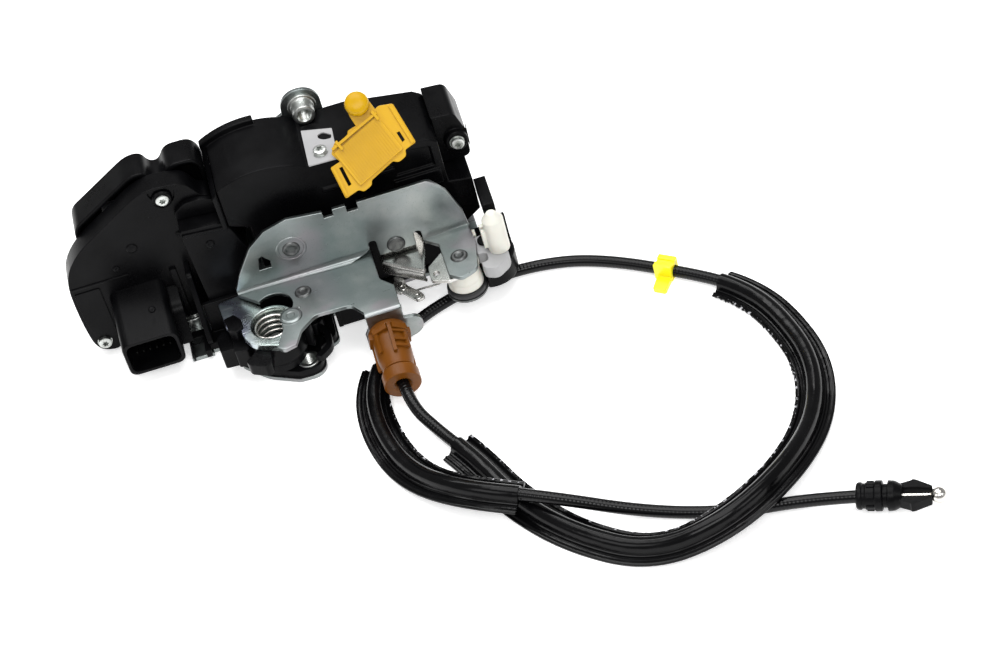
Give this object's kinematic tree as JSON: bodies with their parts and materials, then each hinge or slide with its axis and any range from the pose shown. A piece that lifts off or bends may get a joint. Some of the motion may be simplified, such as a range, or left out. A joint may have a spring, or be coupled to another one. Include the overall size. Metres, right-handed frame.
{
  "type": "car door latch",
  "caption": "Car door latch with a fork bolt in a steel frame, a plastic housing with lock actuator and connector, levers and a sheathed release cable.",
  "frame": {"origin": "the fork bolt pivot axis on the outer side of the steel mounting face", "axes": "+X along the latch towards the lock lever, +Y into the door towards the rear flange, +Z away from the mounting face along the fork pivot"},
  "size_m": [0.338, 0.271, 0.1058],
  "materials": {
    "black_plastic": "moulded, semi-matt",
    "zinc_steel": "zinc plated",
    "pin_steel": "zinc plated",
    "bright_nickel": "bright nickel",
    "blue_zinc": "blue zinc",
    "spring_steel": "bright drawn",
    "tin_plate": "tinned",
    "cream_plastic": "moulded",
    "grey_plastic": "moulded",
    "orange_yellow_plastic": "translucent, satin",
    "yellow_plastic": "moulded",
    "orange_brown_plastic": "moulded",
    "black_sheath": "glossy",
    "black_film": "thin glossy film",
    "black_rubber": "moulded",
    "screw_zinc": "zinc plated",
    "motor_steel": "drawn can",
    "brass": "cut"
  },
  "bodies": {
    "housing": {"actuator_case": "black_plastic", "actuator_cover": "black_plastic", "ajar_switch": "black_plastic", "bracket_plate": "zinc_steel", "bracket_rivet": "pin_steel", "bumper_ring": "black_rubber", "cable_clip": "yellow_plastic", "cable_end_fitting": "black_plastic", "cable_fitting": "orange_brown_plastic", "cable_sheath": "black_sheath", "cable_sleeve_far": "black_film", "cable_sleeve_near": "black_film", "connector_terminals": "tin_plate", "cover_screw_lower": "screw_zinc", "cover_screw_upper": "screw_zinc", "detent_pivot": "pin_steel", "end_cover": "black_plastic", "end_cover_screw": "screw_zinc", "flange_collar": "pin_steel", "fork_pivot": "pin_steel", "fork_spring": "spring_steel", "frame_bush_1": "pin_steel", "frame_bush_2": "pin_steel", "frame_bush_3": "pin_steel", "frame_plate": "zinc_steel", "latch_body": "black_plastic", "lever_pin": "pin_steel", "lever_spacer": "cream_plastic", "lock_guide": "black_plastic", "lock_motor": "motor_steel", "main_housing": "black_plastic", "pin_washer": "pin_steel", "release_pivot": "pin_steel", "tag_plate": "cream_plastic", "tag_screw": "screw_zinc"},
    "fork": {"fork_bolt": "blue_zinc", "fork_jacket": "black_plastic"},
    "detent": {"detent": "pin_steel"},
    "release_lever": {"release_lever": "bright_nickel", "link_wire": "bright_nickel"},
    "inside_lever": {"inside_lever": "bright_nickel"},
    "lock_lever": {"lock_lever": "grey_plastic", "lock_link": "cream_plastic", "rod_clip_white": "cream_plastic"},
    "lock_wheel": {"lock_wheel": "cream_plastic"},
    "motor_worm": {"motor_worm": "brass"},
    "rod_clip": {"rod_clip": "orange_yellow_plastic"},
    "cable_core": {"cable_core": "spring_steel"}
  },
  "joints": [
    {"name": "fork_hinge", "type": "hinge", "parent": "housing", "child": "fork", "pos_m": [0, 0, 0.0175], "axis": [0, 0, 1], "range_deg": [-42, 0]},
    {"name": "detent_hinge", "type": "hinge", "parent": "housing", "child": "detent", "pos_m": [0.0175, 0.0104, 0.011], "axis": [0, 0, 1], "range_deg": [-9, 0]},
    {"name": "inside_lever_hinge", "type": "hinge", "parent": "housing", "child": "inside_lever", "pos_m": [0.0905, 0.0031, 0.0278], "axis": [0, 0, 1], "range_deg": [0, 16]},
    {"name": "release_lever_hinge", "type": "hinge", "parent": "housing", "child": "release_lever", "pos_m": [0.0646, 0.0255, 0.0321], "axis": [0, 1, 0], "range_deg": [0, 8]},
    {"name": "lock_lever_hinge", "type": "hinge", "parent": "housing", "child": "lock_lever", "pos_m": [0.104, 0.011, 0.0248], "axis": [0, 0, 1], "range_deg": [0, 25]},
    {"name": "lock_wheel_turn", "type": "hinge", "parent": "housing", "child": "lock_wheel", "pos_m": [-0.026, 0.0596, 0.0473], "axis": [0, 1, 0], "range_deg": [0, 90]},
    {"name": "motor_worm_turn", "type": "hinge", "parent": "housing", "child": "motor_worm", "pos_m": [-0.024, 0.0596, 0.066], "axis": [1, 0, 0], "range_deg": [0, 1620]},
    {"name": "rod_clip_swivel", "type": "hinge", "parent": "housing", "child": "rod_clip", "pos_m": [0.066, 0.046, 0.098], "axis": [0, -0.7071, 0.7071], "range_deg": [-20, 20]},
    {"name": "cable_pull", "type": "slide", "parent": "housing", "child": "cable_core", "axis": [0.9302, -0.3671, 0], "range_m": [0, 0.012]}
  ],
  "couplings": [
    {"joint": "release_lever_hinge", "follows": "inside_lever_hinge", "ratio": 0.5},
    {"joint": "cable_pull", "follows": "inside_lever_hinge", "m_per_rad": 0.0429},
    {"joint": "motor_worm_turn", "follows": "lock_wheel_turn", "ratio": 18},
    {"joint": "lock_lever_hinge", "follows": "lock_wheel_turn", "ratio": 0.2776}
  ]
}
